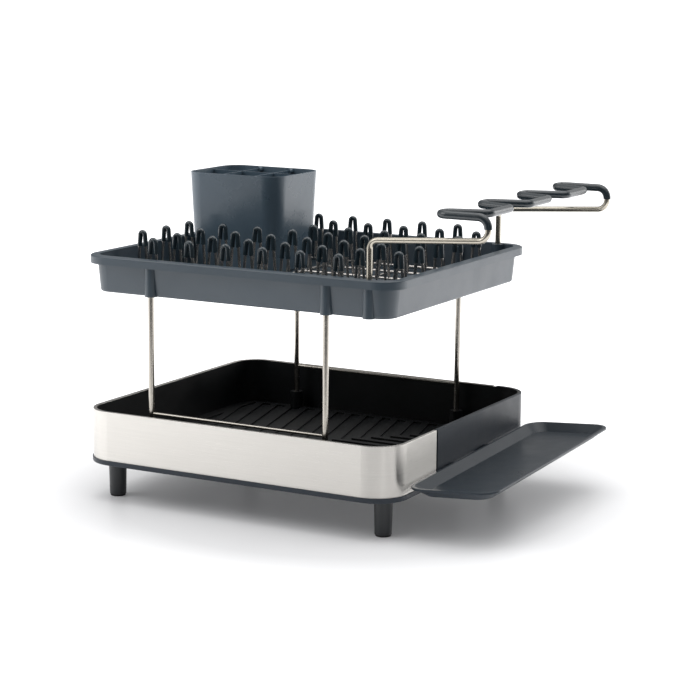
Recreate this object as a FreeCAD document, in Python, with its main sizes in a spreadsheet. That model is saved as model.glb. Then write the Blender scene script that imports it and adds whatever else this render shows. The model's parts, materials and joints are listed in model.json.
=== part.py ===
import FreeCAD
import Part
import math
import os
import Sketcher

# Two-tier dish drying rack, millimetres, +Z up.
# The origin is on the floor, under the middle of the whole rack's footprint.
# +Y runs from the front of the rack to its back, +X to the side with the drip tray.
# The driving sizes are measured from the centre of the lower tub; the last step moves
# every piece by the same amount, so that the origin is under the middle of the footprint.

doc = FreeCAD.newDocument("DishRack")
Vector = FreeCAD.Vector
Rotation = FreeCAD.Rotation

# ---------------------------------------------------------------- driving sizes
SIZES = [
    ("tub_width", 360.0), ("tub_depth", 332.0), ("tub_corner", 33.0),
    ("lip_low", 38.8), ("lip_high", 44.0), ("lip_reach", 1.0),
    ("floor_low", 43.0), ("floor_high", 46.0), ("tub_top", 94.2), ("tub_wall", 3.0),
    ("band_gauge", 0.8), ("band_gap", 0.3), ("band_hem", 3.6), ("band_slit", 3.0),
    ("panel_front", 65.0), ("rib_height", 1.8), ("rib_width", 7.0), ("rib_pitch", 15.5),
    ("rib_slant", 14.0),
    ("foot_top_radius", 9.4), ("foot_low_radius", 8.5),
    ("pad_height", 2.0), ("pad_radius", 7.8), ("screw_seat", 32.0), ("screw_radius", 2.0),
    ("tier_x", -2.5), ("wire_radius", 3.0), ("bar_radius", 1.6), ("leg_low", 52.0),
    ("running_gap", 0.08),
    ("tray_low", 216.0), ("rim_corner", 26.0), ("rim_reach", 7.5),
    ("tray_wall", 2.5), ("tray_draft", 2.5),
    ("prong_wire", 1.5), ("prong_half", 6.2), ("prong_bend", 2.8), ("cap_length", 17.0),
    ("rack_x", -1.0),
    ("caddy_wall", 2.0), ("caddy_draft", 5.5), ("caddy_corner", 20.0),
    ("stem_slot", 18.0), ("finger_tip", 50.0),
    ("drip_y", 10.0), ("drip_z", 56.6), ("drip_width", 94.0),
    ("drip_corner", 18.0), ("drip_height", 10.0), ("drip_wall", 2.0),
    ("drip_slope", 12.0), ("drip_tilt_side", 4.0), ("drip_tilt_back", 1.6), ("tongue_y", 41.0),
    ("drain_radius", 9.0), ("spout_length", 85.0),
]

# Sizes that follow from the driving ones.
DERIVED = {
    "panel_rear": "tub_width / 2 - tub_corner - 7",
    "foot_x": "tub_width / 2 - 24",
    "foot_y": "tub_depth / 2 - 31.5",
    "drain_x": "foot_x - 41",
    "drain_y": "foot_y - 39.5",
    "drip_x": "tub_width / 2 + 2",
    "drip_length": "tub_depth - 28",
    "bar_height": "tub_top + 1.5",
    "rim_width": "tub_width",
    "rim_depth": "tub_depth - 14",
    "leg_x": "rim_width / 2 - 79",
    "leg_y": "rim_depth / 2 - 10",
    "leg_high": "tray_low + 24",
    "socket_radius": "wire_radius + 3.2",
    "tray_floor": "tray_low + 3",
    "rim_low": "tray_low + 29.6",
    "rim_high": "tray_low + 38",
    "column_pitch": "(rim_width - 61.1) / 7",
    "row_pitch": "(rim_depth - 49.8) / 6",
    "prong_top": "tray_low + 58",
    "cap_radius": "prong_wire + 0.9",
    "caddy_width": "rim_width / 2 - 63",
    "caddy_depth": "rim_depth / 2 - 59",
    "caddy_x": "caddy_width / 2 + 9.1 - rim_width / 2",
    "caddy_y": "caddy_depth / 2 + 22",
    "caddy_top": "tray_low + 108",
    "stem_x": "rim_width / 2 - 33",
    "stem_y": "rim_depth / 2 - 11",
    "stem_low": "tray_low + 15",
    "stem_arm": "tray_low + 75.4",
    "stem_arm_end": "tray_low + 83.2",
    "stem_rail": "tray_low + 105",
    "stem_reach": "rim_width / 2 + 90",
    "stem_inner": "rim_width / 2 + 38",
    "finger_out": "rim_width / 2 + 77",
    "grip_radius": "wire_radius + 0.9",
}

sheet = doc.addObject("Spreadsheet::Sheet", "Sizes")
for row, (alias, value) in enumerate(SIZES, start=1):
    sheet.set("A%d" % row, alias)
    sheet.set("B%d" % row, str(value))
    sheet.setAlias("B%d" % row, alias)
doc.recompute()


def cell(text):
    """Expression text with driving sizes as sheet references and derived sizes written out."""
    driving = [name for name, _ in SIZES]
    words = []
    word = ""
    for letter in text + " ":
        if letter.isalnum() or letter == "_":
            word += letter
            continue
        if word in DERIVED:
            words.append("(" + cell(DERIVED[word]) + ")")
        else:
            words.append("Sizes." + word if word in driving else word)
        words.append(letter)
        word = ""
    return "".join(words).strip()


def evaluate(text):
    """Numeric value of a size expression."""
    probe = doc.addObject("App::FeaturePython", "Probe")
    probe.addProperty("App::PropertyFloat", "Value")
    probe.setExpression("Value", cell(text))
    probe.recompute()
    value = float(probe.Value)
    doc.removeObject(probe.Name)
    return value


def size(name):
    """Value of one driving or derived size."""
    return evaluate(name)


NODES = []
UPRIGHT = Rotation()
# The upper tier stands a little to the left of the tub's centre.
TIER = FreeCAD.Placement(Vector(size("tier_x"), 0, 0), UPRIGHT)


# ---------------------------------------------------------------- feature helpers
def new_body(label):
    body = doc.addObject("PartDesign::Body", label + "_body")
    body.Label = label
    NODES.append(body)
    return body


def plane_of(body, role):
    for feature in body.Origin.OriginFeatures:
        if feature.Role == role:
            return feature
    raise ValueError(role)


def place_sketch(body, sketch, spot, role="XY_Plane"):
    """Attach a sketch to one of its body's planes, shifted by three expressions."""
    sketch.AttachmentSupport = [(plane_of(body, role), "")]
    sketch.MapMode = "FlatFace"
    for axis, text in zip("xyz", spot):
        if text != "0":
            sketch.setExpression("AttachmentOffset.Base." + axis, cell(text))


def bind(sketch, index, name, text):
    sketch.renameConstraint(index, name)
    sketch.setExpression("Constraints." + name, cell(text))


def rectangle(body, name, width, depth, corner, spot=("0", "0", "0")):
    """Rounded rectangle centred on the sketch origin; all sizes are expressions."""
    sketch = body.newObject("Sketcher::SketchObject", name)
    place_sketch(body, sketch, spot)
    half_w = evaluate(width) / 2.0
    half_d = evaluate(depth) / 2.0
    radius = evaluate(corner)
    inner_w = half_w - radius
    inner_d = half_d - radius
    ends = [
        ((-inner_w, -half_d), (inner_w, -half_d)),
        ((half_w, -inner_d), (half_w, inner_d)),
        ((inner_w, half_d), (-inner_w, half_d)),
        ((-half_w, inner_d), (-half_w, -inner_d)),
    ]
    for start, end in ends:
        sketch.addGeometry(Part.LineSegment(Vector(start[0], start[1], 0), Vector(end[0], end[1], 0)))
    centres = [(inner_w, -inner_d), (inner_w, inner_d), (-inner_w, inner_d), (-inner_w, -inner_d)]
    for turn, centre in enumerate(centres):
        circle = Part.Circle(Vector(centre[0], centre[1], 0), Vector(0, 0, 1), radius)
        start_angle = math.pi / 2 * (turn - 1)
        sketch.addGeometry(Part.ArcOfCircle(circle, start_angle, start_angle + math.pi / 2))
    for side in range(4):
        arc = 4 + side
        following = (side + 1) % 4
        sketch.addConstraint(Sketcher.Constraint("Tangent", side, 2, arc, 1))
        sketch.addConstraint(Sketcher.Constraint("Tangent", arc, 2, following, 1))
    for side in (0, 2):
        sketch.addConstraint(Sketcher.Constraint("Horizontal", side))
    for side in (1, 3):
        sketch.addConstraint(Sketcher.Constraint("Vertical", side))
    for arc in (5, 6, 7):
        sketch.addConstraint(Sketcher.Constraint("Equal", 4, arc))
    sketch.addConstraint(Sketcher.Constraint("Symmetric", 7, 3, 5, 3, -1, 1))
    index = sketch.addConstraint(Sketcher.Constraint("DistanceX", 3, 1, 1, 1, 2 * half_w))
    bind(sketch, index, "width", width)
    index = sketch.addConstraint(Sketcher.Constraint("DistanceY", 0, 1, 2, 1, 2 * half_d))
    bind(sketch, index, "depth", depth)
    index = sketch.addConstraint(Sketcher.Constraint("Radius", 4, radius))
    bind(sketch, index, "corner", corner)
    return sketch


def disc(body, name, radius, spot=("0", "0", "0")):
    """Circle about the sketch origin."""
    sketch = body.newObject("Sketcher::SketchObject", name)
    place_sketch(body, sketch, spot)
    value = evaluate(radius)
    sketch.addGeometry(Part.Circle(Vector(0, 0, 0), Vector(0, 0, 1), value))
    sketch.addConstraint(Sketcher.Constraint("Coincident", 0, 3, -1, 1))
    index = sketch.addConstraint(Sketcher.Constraint("Radius", 0, value))
    bind(sketch, index, "radius", radius)
    return sketch


def outlines(body, name, loops, spot=("0", "0", "0")):
    """Sketch of closed straight-sided outlines given by their corner points."""
    sketch = body.newObject("Sketcher::SketchObject", name)
    place_sketch(body, sketch, spot)
    for loop in loops:
        first = sketch.GeometryCount
        count = len(loop)
        for index in range(count):
            start = loop[index]
            end = loop[(index + 1) % count]
            sketch.addGeometry(Part.LineSegment(Vector(start[0], start[1], 0), Vector(end[0], end[1], 0)))
        for index in range(count):
            following = first + (index + 1) % count
            sketch.addConstraint(Sketcher.Constraint("Coincident", first + index, 2, following, 1))
    return sketch


def discs(body, name, points, radius, spot=("0", "0", "0")):
    """Sketch of equal circles at fixed points."""
    sketch = body.newObject("Sketcher::SketchObject", name)
    place_sketch(body, sketch, spot)
    value = evaluate(radius)
    for point in points:
        sketch.addGeometry(Part.Circle(Vector(point[0], point[1], 0), Vector(0, 0, 1), value))
    for index in range(1, len(points)):
        sketch.addConstraint(Sketcher.Constraint("Equal", 0, index))
    index = sketch.addConstraint(Sketcher.Constraint("Radius", 0, value))
    bind(sketch, index, "radius", radius)
    return sketch


def checked(body, feature, grows):
    """Recompute and make sure the feature really added or removed material."""
    before = feature.BaseFeature.Shape.Volume if feature.BaseFeature else 0.0
    doc.recompute()
    after = feature.Shape.Volume
    changed = after > before + 0.01 if grows else after < before - 0.01
    if not changed:
        raise RuntimeError("%s / %s changes nothing" % (body.Label, feature.Label))
    return feature


def pad(body, name, sketch, length):
    feature = body.newObject("PartDesign::Pad", name)
    feature.Profile = sketch
    feature.setExpression("Length", cell(length))
    return checked(body, feature, True)


def pocket(body, name, sketch, length, upward=False):
    feature = body.newObject("PartDesign::Pocket", name)
    feature.Profile = sketch
    feature.Reversed = upward
    feature.setExpression("Length", cell(length))
    return checked(body, feature, False)


def loft(body, name, stages, cutting=False):
    kind = "PartDesign::SubtractiveLoft" if cutting else "PartDesign::AdditiveLoft"
    feature = body.newObject(kind, name)
    feature.Profile = stages[0]
    feature.Sections = stages[1:]
    feature.Ruled = True
    return checked(body, feature, not cutting)


def rounded_base(body, name, width, depth, corner, low):
    """Outlines that climb round the lower edge of a moulded shell."""
    stages = []
    for index, (inset, lift) in enumerate([(2.4, 0.0), (1.1, 0.35), (0.35, 1.1), (0.0, 2.4)]):
        stages.append(rectangle(
            body, "%s%d" % (name, index), "%s - %g" % (width, 2 * inset), "%s - %g" % (depth, 2 * inset),
            "%s - %g" % (corner, inset), ("0", "0", "%s + %g" % (low, lift))))
    return stages


def level_edges(shape, height, reach=None):
    """Names of the edges lying at one height; reach keeps those at least that far out in X or Y."""
    names = []
    for index, edge in enumerate(shape.Edges, start=1):
        box = edge.BoundBox
        flat = abs(box.ZMin - height) < 0.01 and abs(box.ZMax - height) < 0.01
        far = max(abs(box.XMin), abs(box.XMax)) if reach else 0.0
        deep = max(abs(box.YMin), abs(box.YMax)) if reach else 0.0
        if flat and (reach is None or far > reach[0] or deep > reach[1]):
            names.append("Edge%d" % index)
    return names


def fillet(body, name, height, radius, reach=None):
    base = body.Tip
    feature = body.newObject("PartDesign::Fillet", name)
    feature.Base = (base, level_edges(base.Shape, height, reach))
    feature.setExpression("Radius", cell(radius))
    doc.recompute()
    return feature


def part_object(kind, name, bound, base):
    """Part primitive with its sizes and position bound to the sheet."""
    item = doc.addObject(kind, name)
    for prop, text in bound.items():
        item.setExpression(prop, cell(text))
    for axis, text in zip("xyz", base):
        item.setExpression("Placement.Base." + axis, cell(text))
    return item


def solid_node(label, shape, placement=None):
    """Sub-part whose shape is swept or gathered from bent wire."""
    item = doc.addObject("Part::Feature", label + "_shape")
    item.Label = label
    item.Shape = shape
    item.Placement = placement or FreeCAD.Placement()
    NODES.append(item)
    return item


def wire_path(points, radii):
    """Path through corner points, each inner corner rounded by its own bend radius."""
    edges = []
    last = points[0]
    for index in range(1, len(points) - 1):
        corner = points[index]
        back = (points[index - 1] - corner).normalize()
        ahead = (points[index + 1] - corner).normalize()
        half = back.getAngle(ahead) / 2.0
        reach = radii[index - 1] / math.tan(half)
        inward = (back + ahead).normalize()
        start = corner + back * reach
        end = corner + ahead * reach
        middle = corner + inward * (radii[index - 1] / math.sin(half) - radii[index - 1])
        if (start - last).Length > 1e-4:
            edges.append(Part.makeLine(last, start))
        edges.append(Part.Arc(start, middle, end).toShape())
        last = end
    edges.append(Part.makeLine(last, points[-1]))
    return Part.Wire(edges)


def swept(path, radius):
    """Round bar of the given radius along a path."""
    first = path.OrderedEdges[0]
    start = first.valueAt(first.FirstParameter)
    direction = first.tangentAt(first.FirstParameter)
    ring = Part.Wire([Part.makeCircle(radius, start, direction)])
    return path.makePipeShell([ring], True, False)


def rod(start, end, radius):
    along = end - start
    return Part.makeCylinder(radius, along.Length, start, along)


# ---------------------------------------------------------------- lower tub
def rib_loops():
    """Nested V-shaped drain ribs: one leg runs to the right border, one to the back border.

    Every rib ends one millimetre inside the border rib, so that they join as one piece.
    """
    limit_x = size("tub_width") / 2 - 21
    limit_y = size("tub_depth") / 2 - 19
    pitch = size("rib_pitch")
    width = size("rib_width")
    slant = math.tan(math.radians(size("rib_slant")))

    def run_out(x, y):
        """Where a slanted rib edge that starts at a point meets the border."""
        end_x = x - (limit_y - y) * slant
        if end_x >= -limit_x:
            return (end_x, limit_y)
        return (-limit_x, y + (x + limit_x) / slant)

    loops = []
    step = 1
    while True:
        corner = (-limit_x + pitch * step, -limit_y + pitch * step)
        step += 1
        if corner[0] > limit_x - 2 * width or corner[1] > limit_y - 2 * width:
            return loops
        inner = (corner[0] + width, corner[1] + width)
        outer_end = run_out(*corner)
        inner_end = run_out(*inner)
        loop = [corner, (limit_x, corner[1]), (limit_x, inner[1]), inner, inner_end]
        if outer_end[0] == -limit_x and inner_end[0] > -limit_x:
            loop.append((-limit_x, limit_y))
        loop.append(outer_end)
        loops.append(loop)


def panel_outline(body):
    """Plan of the bare wall strip: along the right wall and round the rear right corner."""
    sketch = body.newObject("Sketcher::SketchObject", "PanelOutline")
    place_sketch(body, sketch, ("0", "0", "lip_high"))
    half_w = size("tub_width") / 2
    half_d = size("tub_depth") / 2
    radius = size("tub_corner")
    depth = size("tub_wall") + size("band_gauge") + size("band_gap")
    front = -size("panel_front")
    rear = size("panel_rear")
    outer = [(half_w - depth, front), (half_w, front), (half_w, half_d - radius)]
    inner = [(half_w - radius, half_d), (rear, half_d), (rear, half_d - depth),
             (half_w - radius, half_d - depth)]
    for run in (outer, inner):
        for start, end in zip(run, run[1:]):
            sketch.addGeometry(Part.LineSegment(Vector(start[0], start[1], 0), Vector(end[0], end[1], 0)))
    closing = (half_w - depth, half_d - radius)
    sketch.addGeometry(Part.LineSegment(Vector(closing[0], closing[1], 0),
                                        Vector(outer[0][0], outer[0][1], 0)))
    centre = Vector(half_w - radius, half_d - radius, 0)
    for reach in (radius, radius - depth):
        circle = Part.Circle(centre, Vector(0, 0, 1), reach)
        sketch.addGeometry(Part.ArcOfCircle(circle, 0.0, math.pi / 2))
    joins = [(0, 2, 1, 1), (1, 2, 6, 1), (6, 2, 2, 1), (2, 2, 3, 1), (3, 2, 4, 1),
             (4, 2, 7, 2), (7, 1, 5, 1), (5, 2, 0, 1)]
    for join in joins:
        sketch.addConstraint(Sketcher.Constraint("Coincident", *join))
    return sketch


def build_lower_tub():
    body = new_body("lower_tub")
    lip = rectangle(body, "LipOutline", "tub_width + 2 * lip_reach", "tub_depth + 2 * lip_reach",
                    "tub_corner + lip_reach", ("0", "0", "lip_low"))
    pad(body, "Lip", lip, "lip_high - lip_low")
    fillet(body, "LipRound", size("lip_low"), "1.5")
    shell = rectangle(body, "WallOutline", "tub_width - 2 * band_gauge - 2 * band_gap",
                      "tub_depth - 2 * band_gauge - 2 * band_gap",
                      "tub_corner - band_gauge - band_gap", ("0", "0", "lip_high"))
    pad(body, "Walls", shell, "tub_top - lip_high")
    pad(body, "SidePanel", panel_outline(body), "tub_top + band_gauge - lip_high")
    hollow = rectangle(body, "HollowOutline",
                       "tub_width - 2 * band_gauge - 2 * band_gap - 2 * tub_wall",
                       "tub_depth - 2 * band_gauge - 2 * band_gap - 2 * tub_wall",
                       "tub_corner - band_gauge - band_gap - tub_wall", ("0", "0", "tub_top"))
    pocket(body, "Hollow", hollow, "tub_top - floor_high")
    under = rectangle(body, "UndersideOutline", "tub_width - 12", "tub_depth - 12",
                      "tub_corner - 6", ("0", "0", "lip_low"))
    pocket(body, "Underside", under, "floor_low - lip_low", upward=True)
    frame_outer = rectangle(body, "BorderOutline", "tub_width - 34", "tub_depth - 30", "12",
                            ("0", "0", "floor_high"))
    pad(body, "Border", frame_outer, "rib_height")
    frame_inner = rectangle(body, "BorderInside", "tub_width - 44", "tub_depth - 40", "8",
                            ("0", "0", "floor_high + rib_height"))
    pocket(body, "BorderHollow", frame_inner, "rib_height")
    ribs = outlines(body, "RibOutline", rib_loops(), ("0", "0", "floor_high"))
    pad(body, "Ribs", ribs, "rib_height")
    for side_x in (-1, 1):
        for side_y in (-1, 1):
            tag = "%s%s" % ("L" if side_x < 0 else "R", "F" if side_y < 0 else "B")
            foot = disc(body, "FootBoss" + tag, "foot_top_radius + 2",
                        ("%d * foot_x" % side_x, "%d * foot_y" % side_y, "lip_low"))
            pad(body, "FootPad" + tag, foot, "floor_low - lip_low")
            hole = disc(body, "FootHole" + tag, "screw_radius + 0.3",
                        ("%d * foot_x" % side_x, "%d * foot_y" % side_y, "lip_low"))
            pocket(body, "FootBore" + tag, hole, "6.4", upward=True)
            boss = disc(body, "LegBoss" + tag, "socket_radius + 0.8",
                        ("tier_x + %d * leg_x" % side_x, "%d * leg_y" % side_y, "floor_high"))
            pad(body, "LegSocket" + tag, boss, "20")
            bore = disc(body, "LegHole" + tag, "wire_radius + 0.3",
                        ("tier_x + %d * leg_x" % side_x, "%d * leg_y" % side_y, "floor_high + 20"))
            pocket(body, "LegBore" + tag, bore, "floor_high + 20 - leg_low")
    clear = disc(body, "DrainClear", "drain_radius + 6", ("drain_x", "drain_y", "floor_high + rib_height"))
    pocket(body, "DrainSeat", clear, "rib_height")
    drain = disc(body, "DrainOutline", "drain_radius", ("drain_x", "drain_y", "floor_high"))
    pocket(body, "DrainHole", drain, "floor_high - floor_low + 1")
    for side in (-1, 1):
        tag = "F" if side < 0 else "B"
        slot = rectangle(body, "TongueSlot" + tag, "30", "27", "0.5",
                         ("tub_width / 2", "%d * tongue_y" % side, "drip_z - 0.6 + %d * 1.2" % side))
        pocket(body, "TongueHole" + tag, slot, "5.6")
    return body


# ---------------------------------------------------------------- steel band
def build_band():
    body = new_body("steel_band")
    outer = rectangle(body, "OuterOutline", "tub_width", "tub_depth", "tub_corner",
                      ("0", "0", "lip_high"))
    pad(body, "Sheet", outer, "tub_top + band_gauge - lip_high")
    inner = rectangle(body, "InnerOutline", "tub_width - 2 * band_gauge", "tub_depth - 2 * band_gauge",
                      "tub_corner - band_gauge", ("0", "0", "lip_high"))
    pocket(body, "Inside", inner, "tub_top - lip_high", upward=True)
    mouth = rectangle(body, "HemOutline", "tub_width - 2 * band_hem", "tub_depth - 2 * band_hem",
                      "tub_corner - band_hem", ("0", "0", "tub_top + band_gauge"))
    pocket(body, "Hem", mouth, "band_gauge")
    top = size("tub_top") + size("band_gauge")
    fillet(body, "TopRound", top, "0.35", (size("tub_width") / 2 - 1.5, size("tub_depth") / 2 - 1.5))
    gap = rectangle(body, "GapOutline", "tub_width / 2 + 20 - panel_rear + band_slit",
                    "tub_depth / 2 + 20 + panel_front + band_slit", "1",
                    ("(tub_width / 2 + 20 + panel_rear - band_slit) / 2",
                     "(tub_depth / 2 + 20 - panel_front - band_slit) / 2", "tub_top + band_gauge"))
    pocket(body, "Gap", gap, "tub_top + band_gauge - lip_high")
    return body


# ---------------------------------------------------------------- feet
def build_feet():
    names = {(-1, -1): "foot_front_left", (1, -1): "foot_front_right",
             (-1, 1): "foot_rear_left", (1, 1): "foot_rear_right"}
    for (side_x, side_y), label in names.items():
        spot = ("%d * foot_x" % side_x, "%d * foot_y" % side_y, "pad_height")
        outer = part_object("Part::Cone", label + "_outer", {
            "Radius1": "foot_low_radius", "Radius2": "foot_top_radius",
            "Height": "lip_low - pad_height"}, spot)
        seat = part_object("Part::Cylinder", label + "_seat", {
            "Radius": "5.6", "Height": "screw_seat - pad_height"}, spot)
        bore = part_object("Part::Cylinder", label + "_bore", {
            "Radius": "screw_radius + 0.3", "Height": "lip_low"}, spot)
        hollow = doc.addObject("Part::Fuse", label + "_hollow")
        hollow.Base = seat
        hollow.Tool = bore
        foot = doc.addObject("Part::Cut", label + "_cut")
        foot.Base = outer
        foot.Tool = hollow
        foot.Label = label
        NODES.append(foot)


def corner_spots():
    return [(sx * size("foot_x"), sy * size("foot_y")) for sx in (-1, 1) for sy in (-1, 1)]


def build_foot_hardware():
    pads = []
    screws = []
    seat = size("screw_seat")
    radius = size("screw_radius")
    for spot_x, spot_y in corner_spots():
        disc_shape = Part.makeCylinder(size("pad_radius"), size("pad_height"), Vector(spot_x, spot_y, 0))
        rim = [edge for edge in disc_shape.Edges if abs(edge.BoundBox.ZMax) < 0.01]
        pads.append(disc_shape.makeFillet(0.5, rim))
        head = Part.makeCylinder(4.6, 3.0, Vector(spot_x, spot_y, seat - 3.0))
        recess = Part.makeBox(1.0, 5.6, 1.4, Vector(spot_x - 0.5, spot_y - 2.8, seat - 3.0))
        cross = Part.makeBox(5.6, 1.0, 1.4, Vector(spot_x - 2.8, spot_y - 0.5, seat - 3.0))
        shank = Part.makeCylinder(radius, 12.4, Vector(spot_x, spot_y, seat))
        tip = Part.makeCone(radius, 0.8, 0.6, Vector(spot_x, spot_y, seat + 12.4))
        screws.append(head.cut(recess.fuse(cross)).fuse([shank, tip]).removeSplitter())
    solid_node("foot_pads", Part.makeCompound(pads))
    solid_node("foot_screws", Part.makeCompound(screws))


# ---------------------------------------------------------------- wire leg frames
def build_leg_frame(label, side):
    leg_x = size("leg_x")
    leg_y = side * size("leg_y")
    radius = size("wire_radius")
    height = size("leg_high") - size("leg_low")
    legs = []
    for side_x in (-1, 1):
        leg = Part.makeCylinder(radius, height, Vector(side_x * leg_x, leg_y, size("leg_low")))
        legs.append(leg.makeChamfer(0.6, [edge for edge in leg.Edges if edge.isClosed()]))
    bar_z = size("bar_height")
    bar = rod(Vector(-leg_x, leg_y, bar_z), Vector(leg_x, leg_y, bar_z), size("bar_radius"))
    solid_node(label, legs[0].fuse([legs[1], bar]).removeSplitter(), TIER)


# ---------------------------------------------------------------- upper tray
def build_upper_tray():
    body = new_body("upper_tray")
    body.Placement = TIER
    wall_w = "rim_width - 2 * rim_reach"
    wall_d = "rim_depth - 2 * rim_reach"
    stages = rounded_base(body, "Base", wall_w + " - 2 * tray_draft", wall_d + " - 2 * tray_draft",
                          "rim_corner - rim_reach - tray_draft", "tray_low")
    stages.append(rectangle(body, "ShoulderOutline", wall_w, wall_d, "rim_corner - rim_reach",
                            ("0", "0", "rim_low")))
    loft(body, "Walls", stages)
    rim = rectangle(body, "RimOutline", "rim_width", "rim_depth", "rim_corner", ("0", "0", "rim_low"))
    pad(body, "Rim", rim, "rim_high - rim_low")
    fillet(body, "RimRound", size("rim_high"), "1.6")
    floor = rectangle(body, "FloorOutline", wall_w + " - 2 * tray_draft - 2 * tray_wall",
                      wall_d + " - 2 * tray_draft - 2 * tray_wall",
                      "rim_corner - rim_reach - tray_draft - tray_wall", ("0", "0", "tray_floor"))
    mouth = rectangle(body, "MouthOutline", wall_w + " - 2 * tray_wall + 1", wall_d + " - 2 * tray_wall + 1",
                      "rim_corner - rim_reach - tray_wall + 0.5", ("0", "0", "rim_high + 1"))
    loft(body, "Hollow", [floor, mouth], cutting=True)
    for side_x in (-1, 1):
        for side_y in (-1, 1):
            tag = "%s%s" % ("L" if side_x < 0 else "R", "F" if side_y < 0 else "B")
            spot = ["%d * leg_x" % side_x, "%d * leg_y" % side_y, "tray_low"]
            boss = disc(body, "LegBoss" + tag, "socket_radius", spot)
            pad(body, "LegSocket" + tag, boss, "rim_low + 2 - tray_low")
            bore = disc(body, "LegHole" + tag, "wire_radius + running_gap", spot)
            pocket(body, "LegBore" + tag, bore, "leg_high - tray_low", upward=True)
    for side_y in (-1, 1):
        tag = "F" if side_y < 0 else "B"
        boss = disc(body, "StemBoss" + tag, "socket_radius",
                    ("stem_x", "%d * stem_y" % side_y, "tray_low"))
        pad(body, "StemSocket" + tag, boss, "rim_high - tray_low - 0.2")
        bore = disc(body, "StemHole" + tag, "wire_radius + running_gap",
                    ("stem_x", "%d * stem_y" % side_y, "rim_high"))
        pocket(body, "StemBore" + tag, bore, "rim_high - stem_low")
    holes = []
    for column in range(-3, 4):
        for line in range(-3, 3):
            holes.append((column * size("column_pitch"), (line + 0.5) * size("row_pitch")))
    drains = discs(body, "DrainHoles", holes, "3.2", ("0", "0", "tray_floor"))
    pocket(body, "Drains", drains, "tray_floor - tray_low + 1")
    return body


# ---------------------------------------------------------------- wire plate rack
# Each row stands on one cross wire; the columns listed are the ones that carry a hairpin.
ROW_COLUMNS = [
    (-2, -1, 0, 1, 2, 3),
    (-3, -2, -1, 0, 1, 2, 3, 4),
    (-3, -2, -1, 0, 1, 2, 3, 4),
    (-3, -2, -1, 0, 1, 2, 3, 4),
    (0, 1, 2, 3, 4),
    (0, 1, 2, 3, 4),
    (-2, -1, 0, 1, 2, 3),
]


def hairpin_path(low):
    """Centre line of one hairpin in the XZ plane, from height low over the bend and back."""
    bend = size("prong_bend")
    half = size("prong_half")
    foot = row_wire_height()
    centre = size("prong_top") - size("cap_radius") - bend
    rise = centre - foot
    lean = math.atan2(half, rise) - math.asin(bend / math.hypot(half, rise))
    touch = Vector(-bend * math.cos(lean), 0, centre + bend * math.sin(lean))
    drop = (touch.z - low) / math.cos(lean)
    start = touch - Vector(math.sin(lean), 0, math.cos(lean)) * drop
    crown = Vector(0, 0, centre + bend)
    other_touch = Vector(-touch.x, 0, touch.z)
    other_start = Vector(-start.x, 0, start.z)
    return Part.Wire([
        Part.makeLine(start, touch),
        Part.Arc(touch, crown, other_touch).toShape(),
        Part.makeLine(other_touch, other_start),
    ])


def row_wire_height():
    return size("tray_floor") + 3 * size("prong_wire") - 0.25


def build_plate_rack():
    radius = size("prong_wire")
    pitch_x = size("column_pitch")
    pitch_y = size("row_pitch")
    row_z = row_wire_height()
    hairpin = swept(hairpin_path(row_z), radius)
    cap_low = size("prong_top") - size("cap_length")
    cap = swept(hairpin_path(cap_low), size("cap_radius")).cut(swept(hairpin_path(cap_low - 2), radius + 0.05))
    rows = len(ROW_COLUMNS)
    base_z = size("tray_floor") + radius
    end_y = (rows - 1) / 2.0 * pitch_y + 5
    runs = [(-3, -end_y, 6.0), (-1, -end_y, end_y), (1, -end_y, end_y), (3, -end_y, end_y)]
    lengths = [rod(Vector(column * pitch_x, low, base_z), Vector(column * pitch_x, high, base_z), radius)
               for column, low, high in runs]
    rack_x = size("tier_x") + size("rack_x")
    solid_node("rack_rails", Part.makeCompound(lengths), FreeCAD.Placement(Vector(rack_x, 0, 0), UPRIGHT))
    for index, columns in enumerate(ROW_COLUMNS):
        line_y = (index - (rows - 1) / 2.0) * pitch_y
        spots = [(column - 0.5) * pitch_x for column in columns]
        bar = rod(Vector(spots[0] - 10, 0, row_z), Vector(spots[-1] + 10, 0, row_z), radius)
        pins = [hairpin.translated(Vector(spot, 0, 0)) for spot in spots]
        row = bar.fuse(pins).removeSplitter()
        caps = Part.makeCompound([cap.translated(Vector(spot, 0, 0)) for spot in spots])
        spot = FreeCAD.Placement(Vector(rack_x, line_y, 0), UPRIGHT)
        solid_node("rack_row_%d" % (index + 1), row, spot)
        solid_node("rack_caps_%d" % (index + 1), caps, spot)


# ---------------------------------------------------------------- cutlery caddy
def caddy_placement():
    return FreeCAD.Placement(Vector(size("tier_x") + size("caddy_x"), size("caddy_y"), 0), UPRIGHT)


def build_caddy():
    body = new_body("caddy")
    body.Placement = caddy_placement()
    low_w = "caddy_width - 2 * caddy_draft"
    low_d = "caddy_depth - 2 * caddy_draft"
    stages = rounded_base(body, "Base", low_w, low_d, "caddy_corner - caddy_draft", "tray_floor")
    stages.append(rectangle(body, "TopOutline", "caddy_width", "caddy_depth", "caddy_corner",
                            ("0", "0", "caddy_top")))
    loft(body, "Walls", stages)
    inside_low = rectangle(body, "InsideBottom", low_w + " - 2 * caddy_wall", low_d + " - 2 * caddy_wall",
                           "caddy_corner - caddy_draft - caddy_wall", ("0", "0", "tray_floor + 3"))
    inside_top = rectangle(body, "InsideTop", "caddy_width - 2 * caddy_wall", "caddy_depth - 2 * caddy_wall",
                           "caddy_corner - caddy_wall", ("0", "0", "caddy_top + 0.01"))
    loft(body, "Inside", [inside_low, inside_top], cutting=True)
    step_x = size("caddy_width") / 6
    step_y = size("caddy_depth") / 5
    holes = [(column * step_x, line * step_y) for column in (-2, -1, 1, 2) for line in (-1.6, -0.8, 0.8, 1.6)]
    drains = discs(body, "DrainHoles", holes, "2.5", ("0", "0", "tray_floor + 3"))
    pocket(body, "Drains", drains, "4")


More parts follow.
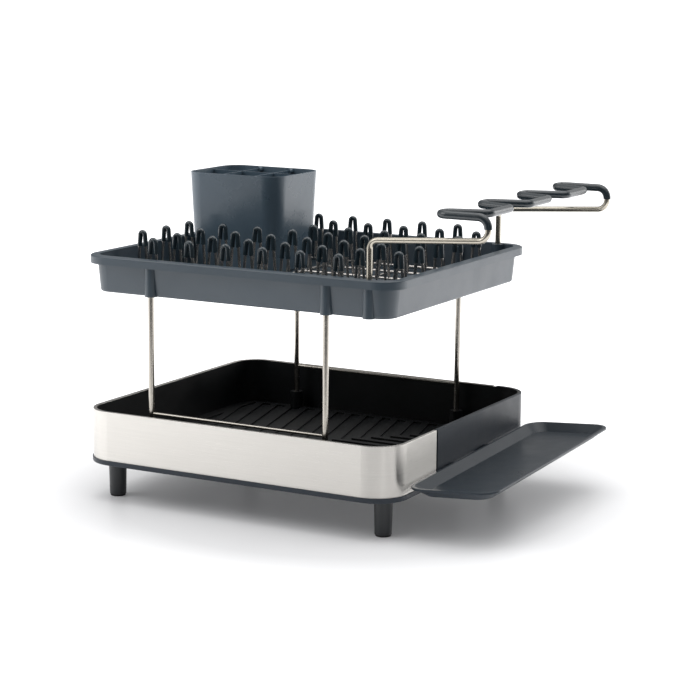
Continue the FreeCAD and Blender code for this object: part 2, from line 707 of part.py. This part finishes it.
def build_caddy_insert():
    """Two front-to-back dividers and one cross divider in one lift-out piece."""
    wall = size("caddy_wall")
    low = size("tray_floor") + 3.4
    high = size("caddy_top") - 2.0
    gap = 0.4
    draft = size("caddy_draft") / (size("caddy_top") - size("tray_floor"))

    def half_at(extent, height):
        return extent / 2 - wall - gap - (size("caddy_top") - height) * draft

    def plate(half_low, half_high):
        corners = [Vector(-half_low, 0, low), Vector(half_low, 0, low),
                   Vector(half_high, 0, high), Vector(-half_high, 0, high)]
        face = Part.Face(Part.makePolygon(corners + corners[:1]))
        return face.extrude(Vector(0, 1.6, 0)).translated(Vector(0, -0.8, 0))

    across = plate(half_at(size("caddy_width"), low), half_at(size("caddy_width"), high))
    along = plate(half_at(size("caddy_depth"), low), half_at(size("caddy_depth"), high))
    along.rotate(Vector(0, 0, 0), Vector(0, 0, 1), 90)
    pieces = []
    for side in (-1, 1):
        offset = side * size("caddy_width") / 6
        pieces.append(along.translated(Vector(offset, 0, 0)))
        back = half_at(size("caddy_depth"), high)
        bump = Part.makeCylinder(3.2, 6.0, Vector(offset, back - 6.2, high - 1.2), Vector(0, 1, 0))
        pieces.append(bump)
    shape = across.translated(Vector(0, 8, 0)).fuse(pieces).removeSplitter()
    solid_node("caddy_insert", shape, caddy_placement())


# ---------------------------------------------------------------- stemware holder
def rail_points():
    """Corner points and bend radii of the flat slotted rail, from front to back."""
    height = size("stem_rail")
    edge = size("stem_y")
    slot = size("stem_slot")
    pitch = (2 * edge - slot) / 3
    inner = size("stem_inner")
    outer = size("finger_out")
    tip = size("finger_tip") / 2
    points = []
    radii = []
    for index in range(4):
        line_y = -edge + index * pitch
        points += [Vector(inner, line_y, height), Vector(inner, line_y + slot, height)]
        radii += [slot / 2, slot / 2]
        if index < 3:
            middle = line_y + (slot + pitch) / 2
            points += [Vector(outer, middle - tip, height), Vector(outer, middle + tip, height)]
            radii += [7.0, 7.0]
    return points, radii


def build_stemware():
    edge = size("stem_y")
    reach = size("stem_reach")
    rail = size("stem_rail")
    turn = (rail - size("stem_arm_end")) / 2 - 0.5
    points, radii = rail_points()
    start = [Vector(size("stem_x"), -edge, size("stem_low")), Vector(size("stem_x"), -edge, size("stem_arm")),
             Vector(reach, -edge, size("stem_arm_end")), Vector(reach, -edge, rail)]
    finish = [Vector(point.x, edge, point.z) for point in reversed(start)]
    path = wire_path(start + points + finish, [9.0, turn, turn] + radii + [turn, turn, 9.0])
    solid_node("stemware_wire", swept(path, size("wire_radius")), TIER)
    middle = (rail + size("stem_arm_end")) / 2
    front = [Vector(reach, -edge, middle), Vector(reach, -edge, rail)]
    back = [Vector(reach, edge, rail), Vector(reach, edge, middle)]
    coat = wire_path(front + points + back, [turn] + radii + [turn])
    core = wire_path([front[0] - Vector(0, 0, 0.4), front[1]] + points + [back[0], back[1] - Vector(0, 0, 0.4)],
                     [turn] + radii + [turn])
    grip = swept(coat, size("grip_radius")).cut(swept(core, size("wire_radius") + 0.05))
    solid_node("stemware_grip", grip, TIER)


# ---------------------------------------------------------------- drip tray
def drip_placement():
    tilt = Rotation(Vector(1, 0, 0), size("drip_tilt_back")) * Rotation(Vector(0, 1, 0), -size("drip_tilt_side"))
    return FreeCAD.Placement(Vector(size("drip_x"), size("drip_y"), size("drip_z")), tilt)


def build_drip_tray():
    body = new_body("drip_tray")
    middle = "drip_width / 2"
    bottom = rectangle(body, "BottomOutline", "drip_width - 2 * drip_slope", "drip_length - 2 * drip_slope",
                       "drip_corner - 4", (middle, "0", "-drip_height"))
    top = rectangle(body, "TopOutline", "drip_width - 3", "drip_length - 3", "drip_corner",
                    (middle, "0", "-2"))
    loft(body, "Walls", [bottom, top])
    rim = rectangle(body, "RimOutline", "drip_width", "drip_length", "drip_corner + 1", (middle, "0", "-2"))
    pad(body, "Rim", rim, "2")
    fillet(body, "RimRound", 0.0, "0.8")
    inside_low = rectangle(body, "InsideBottom", "drip_width - 2 * drip_slope - drip_wall",
                           "drip_length - 2 * drip_slope - drip_wall", "drip_corner - 5",
                           (middle, "0", "-drip_height + drip_wall"))
    inside_top = rectangle(body, "InsideTop", "drip_width - 2 * drip_wall - 2", "drip_length - 2 * drip_wall - 2",
                           "drip_corner - 1", (middle, "0", "0.2"))
    loft(body, "Inside", [inside_low, inside_top], cutting=True)
    for side in (-1, 1):
        tag = "F" if side < 0 else "B"
        tongue = rectangle(body, "Tongue" + tag, "9", "24", "0.6",
                           ("-2.5", "%d * tongue_y - drip_y" % side, "-4.2"))
        pad(body, "TonguePad" + tag, tongue, "3")
    body.Placement = drip_placement()


# ---------------------------------------------------------------- drain spout
def build_spout():
    body = new_body("drain_spout")
    body.Placement = FreeCAD.Placement(Vector(size("drain_x"), size("drain_y"), 0), UPRIGHT)
    arm = rectangle(body, "ArmOutline", "spout_length + 13", "26", "12.5",
                    ("-spout_length / 2 + 6.5", "0", "24"))
    pad(body, "Arm", arm, "13")
    channel = rectangle(body, "ChannelOutline", "spout_length + 20", "20", "9",
                        ("-spout_length / 2 + 1 - 10", "0", "37"))
    pocket(body, "Channel", channel, "10.5")
    roof = disc(body, "CollarOutline", "12.9", ("0", "0", "24"))
    pad(body, "Collar", roof, "18.6")
    stem = disc(body, "StemOutline", "drain_radius - running_gap", ("0", "0", "42"))
    pad(body, "Stem", stem, "floor_high + 1.7 - 42")
    bore = disc(body, "BoreOutline", "drain_radius - 2.5", ("0", "0", "floor_high + 2"))
    pocket(body, "Bore", bore, "floor_high + 2 - 26.5")
    mouth = rectangle(body, "MouthOutline", "16", "14", "1", ("-8", "0", "36"))
    pocket(body, "Mouth", mouth, "9.5")


def build_spout_ring():
    body = new_body("spout_ring")
    body.Placement = FreeCAD.Placement(Vector(size("drain_x"), size("drain_y"), 0), UPRIGHT)
    outer = disc(body, "OuterOutline", "drain_radius + 4", ("0", "0", "floor_high + 0.1"))
    pad(body, "Ring", outer, "1.5")
    inner = disc(body, "InnerOutline", "drain_radius", ("0", "0", "floor_high + 0.1"))
    pocket(body, "RingBore", inner, "1.5", upward=True)


build_lower_tub()
build_band()
build_feet()
build_foot_hardware()
build_leg_frame("leg_frame_front", -1)
build_leg_frame("leg_frame_rear", 1)
build_upper_tray()
build_plate_rack()
build_caddy()
build_caddy_insert()
build_stemware()
build_drip_tray()
build_spout()
build_spout_ring()
doc.recompute()

# ---------------------------------------------------------------- checks and export
for item in doc.Objects:
    if "Invalid" in item.State or "Error" in item.State:
        raise RuntimeError("%s failed to build: %s" % (item.Label, item.State))
for node in NODES:
    if node.Shape.isNull() or not node.Shape.isValid():
        raise RuntimeError("%s has no valid shape" % node.Label)

whole = FreeCAD.BoundBox()
for node in NODES:
    whole.add(node.Shape.optimalBoundingBox())
shift = FreeCAD.Placement(Vector(-whole.Center.x, -whole.Center.y, 0), UPRIGHT)
for node in NODES:
    node.Placement = shift * node.Placement

os.makedirs("parts", exist_ok=True)
for node in NODES:
    node.Shape.exportStep("parts/%s.step" % node.Label)
print("pieces", len(NODES), "shift", shift.Base, "height", whole.ZMax)
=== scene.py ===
import json
import math

import bpy
from mathutils import Matrix, Vector

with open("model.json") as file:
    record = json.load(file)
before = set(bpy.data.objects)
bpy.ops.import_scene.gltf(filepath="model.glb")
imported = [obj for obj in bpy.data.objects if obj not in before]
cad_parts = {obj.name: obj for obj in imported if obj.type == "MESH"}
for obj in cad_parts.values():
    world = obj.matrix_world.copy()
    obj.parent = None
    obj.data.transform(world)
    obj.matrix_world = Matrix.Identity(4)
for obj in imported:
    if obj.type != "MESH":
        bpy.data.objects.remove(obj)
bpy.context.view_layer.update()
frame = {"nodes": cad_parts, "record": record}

MM = 0.001
NODES = frame["nodes"]

# The tub's centre is left of the frame's middle, because the drip tray and the stemware holder
# reach out on the right.
TUB_X = -46.705 * MM

# Planes within the tub's walls and floor where the painted shade inside the tub starts, and half the width
# over which the plain and the shaded colour meet at the walls.
INSIDE_HALF_WIDTH = 176.2 * MM
INSIDE_HALF_DEPTH = 162.4 * MM
INSIDE_FLOOR_LOW, INSIDE_FLOOR_HIGH = 44.8 * MM, 45.4 * MM
INSIDE_EDGE = 0.3 * MM


# ------------------------------------------------------------------ camera
# Fitted to the photograph: angles in degrees, lens and sensor in mm, place and reach in metres.
CAMERA_YAW, CAMERA_PITCH, CAMERA_ROLL = 28.2, 10.654, 0.586
CAMERA_LENS, CAMERA_SENSOR = 108.29, 36.0
CAMERA_PLACE = (1.06529 + TUB_X, -1.90263, 0.55804)
CAMERA_REACH = 200.0


def add_camera():
    yaw, pitch, roll = (math.radians(angle) for angle in (CAMERA_YAW, CAMERA_PITCH, CAMERA_ROLL))
    forward = Vector((-math.sin(yaw) * math.cos(pitch), math.cos(yaw) * math.cos(pitch), -math.sin(pitch)))
    right = Vector((math.cos(yaw), math.sin(yaw), 0.0))
    up = right.cross(forward)
    tilted_right = right * math.cos(roll) + up * math.sin(roll)
    tilted_up = up * math.cos(roll) - right * math.sin(roll)
    camera = bpy.data.cameras.new("camera")
    camera.sensor_width = CAMERA_SENSOR
    camera.lens = CAMERA_LENS
    camera.clip_end = CAMERA_REACH
    item = bpy.data.objects.new("camera", camera)
    bpy.context.scene.collection.objects.link(item)
    place = Matrix((tilted_right, tilted_up, -forward)).transposed().to_4x4()
    place.translation = Vector(CAMERA_PLACE)
    item.matrix_world = place
    bpy.context.scene.camera = item


# ------------------------------------------------------------------ node helpers
class Tree:
    """Builds the nodes of a material or of the world. A colour is three numbers or an output.

    The Mix node keeps a set of sockets for each kind of data: its factor is input 0, and its
    colours are inputs 6 and 7 and output 2.
    """

    def __init__(self, owner, coordinate):
        owner.use_nodes = True
        self.nodes = owner.node_tree.nodes
        self.links = owner.node_tree.links
        self.place = self.add("ShaderNodeTexCoord").outputs[coordinate]

    def add(self, kind, **settings):
        """A new node. A setting is the name of an input or else of a property."""
        node = self.nodes.new(kind)
        for key, value in settings.items():
            if key in node.inputs:
                node.inputs[key].default_value = value
            else:
                setattr(node, key, value)
        return node

    def feed(self, value, socket):
        """Links an output to the socket, or sets a number or a colour on it."""
        if hasattr(value, "is_linked"):
            self.links.new(value, socket)
        elif socket.type == "RGBA":
            socket.default_value = (*value, 1.0)
        else:
            socket.default_value = value

    def axes(self):
        """The coordinate's X, Y and Z."""
        node = self.add("ShaderNodeSeparateXYZ")
        self.feed(self.place, node.inputs["Vector"])
        return node.outputs["X"], node.outputs["Y"], node.outputs["Z"]

    def stretched(self, scale):
        node = self.add("ShaderNodeMapping", Scale=scale)
        self.feed(self.place, node.inputs["Vector"])
        return node.outputs["Vector"]

    def noise(self, scale, detail=3.0, rough=0.55, vector=None):
        node = self.add("ShaderNodeTexNoise", Scale=scale, Detail=detail, Roughness=rough)
        self.feed(vector or self.place, node.inputs["Vector"])
        return node.outputs["Fac"]

    def span(self, source, low, high, source_low=0.3, source_high=0.7, shape="LINEAR"):
        """Maps the source's range to low..high. Noise mostly stays within 0.3 to 0.7."""
        node = self.add("ShaderNodeMapRange", interpolation_type=shape)
        node.inputs["From Min"].default_value = source_low
        node.inputs["From Max"].default_value = source_high
        node.inputs["To Min"].default_value = low
        node.inputs["To Max"].default_value = high
        self.feed(source, node.inputs["Value"])
        return node.outputs["Result"]

    def blend(self, factor, first, second, kind="MIX"):
        node = self.add("ShaderNodeMix", data_type="RGBA", blend_type=kind)
        for value, index in ((factor, 0), (first, 6), (second, 7)):
            self.feed(value, node.inputs[index])
        return node.outputs[2]

    def times(self, first, second):
        return self.blend(1.0, first, second, "MULTIPLY")

    def calculate(self, operation, first, second):
        node = self.add("ShaderNodeMath", operation=operation)
        self.feed(first, node.inputs[0])
        self.feed(second, node.inputs[1])
        return node.outputs[0]

    def along(self, direction):
        """Distance from the origin along a direction."""
        node = self.add("ShaderNodeVectorMath", operation="DOT_PRODUCT")
        node.inputs[1].default_value = direction
        self.feed(self.place, node.inputs[0])
        return node.outputs["Value"]

    def away(self):
        """Distance from the origin."""
        node = self.add("ShaderNodeVectorMath", operation="LENGTH")
        self.feed(self.place, node.inputs[0])
        return node.outputs["Value"]

    def camera_ray(self):
        return self.add("ShaderNodeLightPath").outputs["Is Camera Ray"]

    def bump(self, height, strength, distance, normal=None):
        node = self.add("ShaderNodeBump", Strength=strength, Distance=distance)
        self.feed(height, node.inputs["Height"])
        if normal:
            self.feed(normal, node.inputs["Normal"])
        return node.outputs["Normal"]


class Look(Tree):
    """A new material with its shader."""

    def __init__(self, name):
        self.material = bpy.data.materials.new(name)
        super().__init__(self.material, "Object")
        self.shader = self.nodes["Principled BSDF"]

    def put(self, name, value):
        self.feed(value, self.shader.inputs[name])


def shade(colour, factor):
    return tuple(min(1.0, channel * factor) for channel in colour)


def grey(value):
    return (value, value, value)


# ------------------------------------------------------------------ plastic, rubber and steel
CLOUD_SPREAD = 0.08         # how far the plastic's tone drifts, up and down
SCUFF_STRETCH = (60.0, 420.0, 160.0)
SCUFF_GAIN = 1.8
GRAIN_DEPTH = 0.4 * MM

BRUSH_STRETCH = (11.0, 11.0, 2600.0)        # lines run level, so they change fast in height only
BRUSH_FINE_STRETCH = (34.0, 34.0, 9000.0)


def moulded(tree, colour, rough, grain=1400.0, relief=0.10, gloss=0.6):
    """Fine-textured moulded plastic: grain, cloudy tone, smudged gloss and a few pale scuffs."""
    cloud = tree.span(tree.noise(9.0, detail=4.0), 0.0, 1.0)
    tone = tree.times(colour, tree.blend(cloud, grey(1.0 - CLOUD_SPREAD), grey(1.0 + CLOUD_SPREAD)))
    marks = tree.noise(1.0, detail=6.0, rough=0.6, vector=tree.stretched(SCUFF_STRETCH))
    scuff = tree.span(marks, 0.0, 0.25, source_low=0.68, source_high=0.82)
    tree.put("Base Color", tree.blend(scuff, tone, tree.times(tone, grey(SCUFF_GAIN))))
    smudge = tree.noise(26.0, detail=5.0, rough=0.6)
    tree.put("Roughness", tree.span(smudge, rough - 0.05, rough + 0.06))
    tree.put("Specular IOR Level", gloss)
    tree.put("Normal", tree.bump(tree.noise(grain, detail=2.0), relief, GRAIN_DEPTH))
    return tree.material


def tub_plastic(name, outside, inside):
    """The tub: slate lip and bare wall strip outside, and near-black painted shade inside the steel band.
    """
    tree = Look(name)
    x, y, z = tree.axes()
    planes = ((x, TUB_X - INSIDE_HALF_WIDTH, 1.0), (x, TUB_X + INSIDE_HALF_WIDTH, -1.0),
              (y, -INSIDE_HALF_DEPTH, 1.0), (y, INSIDE_HALF_DEPTH, -1.0))
    # Painted shade: the mask is 1 inside the tub, above its floor and within its four walls.
    inside_shade_mask = tree.span(z, 0.0, 1.0, INSIDE_FLOOR_LOW, INSIDE_FLOOR_HIGH)
    for axis, edge, sign in planes:
        step = tree.span(axis, 0.0, 1.0, edge - INSIDE_EDGE * sign, edge + INSIDE_EDGE * sign)
        inside_shade_mask = tree.calculate("MULTIPLY", inside_shade_mask, step)
    return moulded(tree, tree.blend(inside_shade_mask, outside, inside), 0.40, gloss=0.35)


def brushed_sheet(name, colour, rough):
    """Stainless sheet brushed along its length, so the lines run level round the tub."""
    tree = Look(name)
    lines = tree.noise(1.0, detail=5.0, rough=0.65, vector=tree.stretched(BRUSH_STRETCH))
    fine = tree.noise(1.0, rough=0.6, vector=tree.stretched(BRUSH_FINE_STRETCH))
    streak = tree.span(lines, 0.0, 1.0, source_low=0.25, source_high=0.75)
    tone = tree.blend(streak, shade(colour, 0.90), shade(colour, 1.05))
    cloud = tree.span(tree.noise(6.0), 0.0, 0.5)
    tree.put("Base Color", tree.blend(cloud, tone, shade(colour, 0.94)))
    tree.put("Metallic", 1.0)
    tree.put("Roughness", tree.span(fine, rough - 0.05, rough + 0.08))
    tree.put("Anisotropic", 0.85)
    tree.put("Anisotropic Rotation", 0.25)
    round_tub = tree.add("ShaderNodeTangent", direction_type="RADIAL", axis="Z")
    tree.put("Tangent", round_tub.outputs["Tangent"])
    tree.put("Normal", tree.bump(lines, 0.06, 0.2 * MM))
    return tree.material


def satin_wire(name, colour, rough=0.24):
    """Drawn and polished steel wire with faint drawing marks and a few water spots."""
    tree = Look(name)
    cloud = tree.span(tree.noise(45.0), 0.0, 1.0)
    tone = tree.blend(cloud, shade(colour, 0.95), shade(colour, 1.03))
    spots = tree.span(tree.noise(260.0, detail=2.0), 0.0, 0.5, source_low=0.70, source_high=0.76)
    tree.put("Base Color", tree.blend(spots, tone, shade(colour, 0.80)))
    tree.put("Metallic", 1.0)
    tree.put("Roughness", tree.span(tree.noise(120.0), rough - 0.03, rough + 0.04))
    tree.put("Normal", tree.bump(tree.noise(3000.0, detail=2.0), 0.03, 0.1 * MM))
    return tree.material


def dipped(name, colour, rough):
    """Thick dipped coating: smooth, slightly wavy, with a soft wet sheen."""
    tree = Look(name)
    cloud = tree.span(tree.noise(60.0), 0.0, 1.0)
    tree.put("Base Color", tree.blend(cloud, shade(colour, 0.85), shade(colour, 1.15)))
    tree.put("Roughness", tree.span(tree.noise(300.0), rough - 0.04, rough + 0.06))
    tree.put("Specular IOR Level", 0.65)
    waves = tree.bump(tree.noise(120.0, detail=2.0), 0.10, 0.8 * MM)
    tree.put("Normal", tree.bump(tree.noise(1800.0, detail=2.0), 0.04, 0.2 * MM, waves))
    return tree.material


def build_materials():
    slate = (0.034, 0.051, 0.067)
    tub_outside = (0.016, 0.023, 0.033)
    # Painted shade: a near-black colour for the tub's inside, where shade falls.
    tub_inside_painted_shade = (0.0035, 0.0042, 0.0050)
    looks = {
        "tub_plastic": tub_plastic("tub_plastic", tub_outside, tub_inside_painted_shade),
        "band_steel": brushed_sheet("band_steel", (0.64, 0.62, 0.585), 0.32),
        "foot_plastic": moulded(Look("foot_plastic"), (0.008, 0.011, 0.014), 0.42),
        "foot_rubber": moulded(Look("foot_rubber"), (0.010, 0.010, 0.012), 0.80, grain=2200.0, relief=0.3),
        "screw_steel": satin_wire("screw_steel", grey(0.55), 0.35),
        "leg_wire": satin_wire("leg_wire", (0.40, 0.375, 0.335)),
        "rack_wire": satin_wire("rack_wire", (0.50, 0.475, 0.45), 0.20),
        "cap_rubber": dipped("cap_rubber", (0.014, 0.026, 0.034), 0.18),
        "tray_plastic": moulded(Look("tray_plastic"), slate, 0.34),
        "caddy_plastic": moulded(Look("caddy_plastic"), shade(slate, 2.1), 0.28),
        "stem_wire": satin_wire("stem_wire", (0.42, 0.39, 0.33), 0.22),
        "grip_rubber": dipped("grip_rubber", (0.014, 0.022, 0.028), 0.20),
        "drip_plastic": moulded(Look("drip_plastic"), (0.012, 0.020, 0.029), 0.32, gloss=0.35),
        "spout_plastic": moulded(Look("spout_plastic"), (0.012, 0.014, 0.018), 0.45),
    }
    slots = {part["node"]: part["material_slot"] for part in frame["record"]["subparts"]}
    for node, item in NODES.items():
        look = looks[slots[node]]
        for index in range(len(item.data.materials)):
            item.data.materials[index] = look
        if not item.data.materials:
            item.data.materials.append(look)


# ------------------------------------------------------------------ edges of the moulded and pressed parts
SOFT_EDGES_MM = {"lower_tub": 0.5, "upper_tray": 0.45, "caddy": 0.7, "drip_tray": 0.5,
                 "caddy_insert": 0.5, "drain_spout": 0.5, "steel_band": 0.25}
SHARP_FROM = 38.0           # degrees between two faces


def soften(node, width_mm):
    bevel = NODES[node].modifiers.new("soft_edges", "BEVEL")
    bevel.width = width_mm * MM
    bevel.segments = 2
    bevel.limit_method = "ANGLE"
    bevel.angle_limit = math.radians(SHARP_FROM)


# ------------------------------------------------------------------ stage
FLOOR_SIZE = 160.0
FLOOR_WHITE = (0.88, 0.88, 0.89)

# Painted reflection and shade: a dark patch of floor in front of the rack, which only reflections and
# bounced light meet; the camera sees white there. Direction and distances in metres.
DARK_REFLECTION_COLOUR = grey(0.05)
DARK_REFLECTION_DIRECTION = (0.489, -0.872, 0.0)
DARK_REFLECTION_START, DARK_REFLECTION_FULL = 0.69, 0.80
DARK_REFLECTION_GLOW = 0.03

# Painted light: the floor glows, weakly near the rack, which leaves it darker there as painted shade, and
# strongly further out. Strengths, and distances in metres.
GLOW_COLOUR = (0.985, 0.985, 1.0)
GLOW_LOW, GLOW_HIGH = 0.08, 0.95
GLOW_START, GLOW_FULL = 0.25, 0.60


def add_floor():
    bpy.ops.mesh.primitive_plane_add(size=FLOOR_SIZE, location=(0, 0, 0))
    floor = bpy.context.object
    floor.name = "floor"
    tree = Look("floor_white")
    # Painted reflection: the floor ahead of the rack is dark for reflections and bounced light, white for
    # the camera, and glows less there.
    ahead = tree.span(tree.along(DARK_REFLECTION_DIRECTION), 0.0, 1.0, DARK_REFLECTION_START, DARK_REFLECTION_FULL)
    dark_reflection_mask = tree.calculate("MULTIPLY", ahead, tree.calculate("SUBTRACT", 1.0, tree.camera_ray()))
    tree.put("Base Color", tree.blend(dark_reflection_mask, FLOOR_WHITE, DARK_REFLECTION_COLOUR))
    tree.put("Roughness", 0.22)
    tree.put("Specular IOR Level", 0.30)
    tree.put("Emission Color", GLOW_COLOUR)
    # Painted light: the floor's glow grows from weak near the rack to strong further out.
    glow = tree.span(tree.away(), GLOW_LOW, GLOW_HIGH, GLOW_START, GLOW_FULL)
    dimmed = tree.span(dark_reflection_mask, 1.0, DARK_REFLECTION_GLOW, 0.0, 1.0)
    tree.put("Emission Strength", tree.calculate("MULTIPLY", glow, dimmed))
    floor.data.materials.append(tree.material)


# Brightness of the studio round the rack, and the angle in degrees from the front towards the right.
SURROUND = [(-180, 0.90), (-150, 0.30), (-105, 0.30), (-80, 1.05), (-38, 1.10), (-25, 0.30), (0, 0.05),
            (40, 0.05), (46, 0.40), (52, 0.40), (58, 0.05), (108, 0.08), (128, 1.20), (180, 0.90)]
OVERHEAD = 0.95
OVERHEAD_START, OVERHEAD_FULL = 0.45, 0.80      # height of the direction, from level 0 to straight up 1


def add_surround():
    """Studio of soft boxes and dark flags for the reflections. The camera sees plain white."""
    world = bpy.data.worlds.new("studio")
    bpy.context.scene.world = world
    tree = Tree(world, "Generated")
    x, y, z = tree.axes()
    angle = tree.calculate("ARCTAN2", x, tree.calculate("MULTIPLY", y, -1.0))
    ramp = tree.add("ShaderNodeValToRGB")
    tree.feed(tree.span(angle, 0.0, 1.0, -math.pi, math.pi), ramp.inputs["Fac"])
    stops = ramp.color_ramp.elements
    stops.remove(stops[1])
    for index, (azimuth, value) in enumerate(SURROUND):
        place = (azimuth + 180.0) / 360.0
        stop = stops[0] if index == 0 else stops.new(place)
        stop.position = place
        stop.color = (*grey(value), 1.0)
    rise = tree.span(z, 0.0, 1.0, OVERHEAD_START, OVERHEAD_FULL, "SMOOTHSTEP")
    studio = tree.blend(rise, ramp.outputs["Color"], grey(OVERHEAD))
    tree.feed(tree.blend(tree.camera_ray(), studio, grey(1.0)), tree.nodes["Background"].inputs["Color"])


def add_light(name, place, aim, side, power):
    """Square soft box: place, aim and side in metres, power in watts."""
    light = bpy.data.lights.new(name, "AREA")
    light.size = side
    light.energy = power
    item = bpy.data.objects.new(name, light)
    bpy.context.scene.collection.objects.link(item)
    item.location = place
    item.rotation_euler = (Vector(aim) - Vector(place)).to_track_quat("-Z", "Y").to_euler()


def add_lights():
    add_surround()
    add_light("key", (-1.10, -1.00, 1.30), (-0.15, 0.0, 0.15), 0.9, 6.0)
    add_light("top", (0.1, 0.2, 2.6), (0.0, 0.0, 0.1), 2.6, 34.0)
    add_light("rim", (1.25, 1.60, 0.70), (0.1, 0.0, 0.10), 0.9, 6.0)
    view = bpy.context.scene.view_settings
    view.view_transform = "Standard"
    view.look = "None"
    view.exposure = 0.0
    view.gamma = 1.0


add_camera()
build_materials()
for node, width_mm in SOFT_EDGES_MM.items():
    soften(node, width_mm)
add_floor()
add_lights()
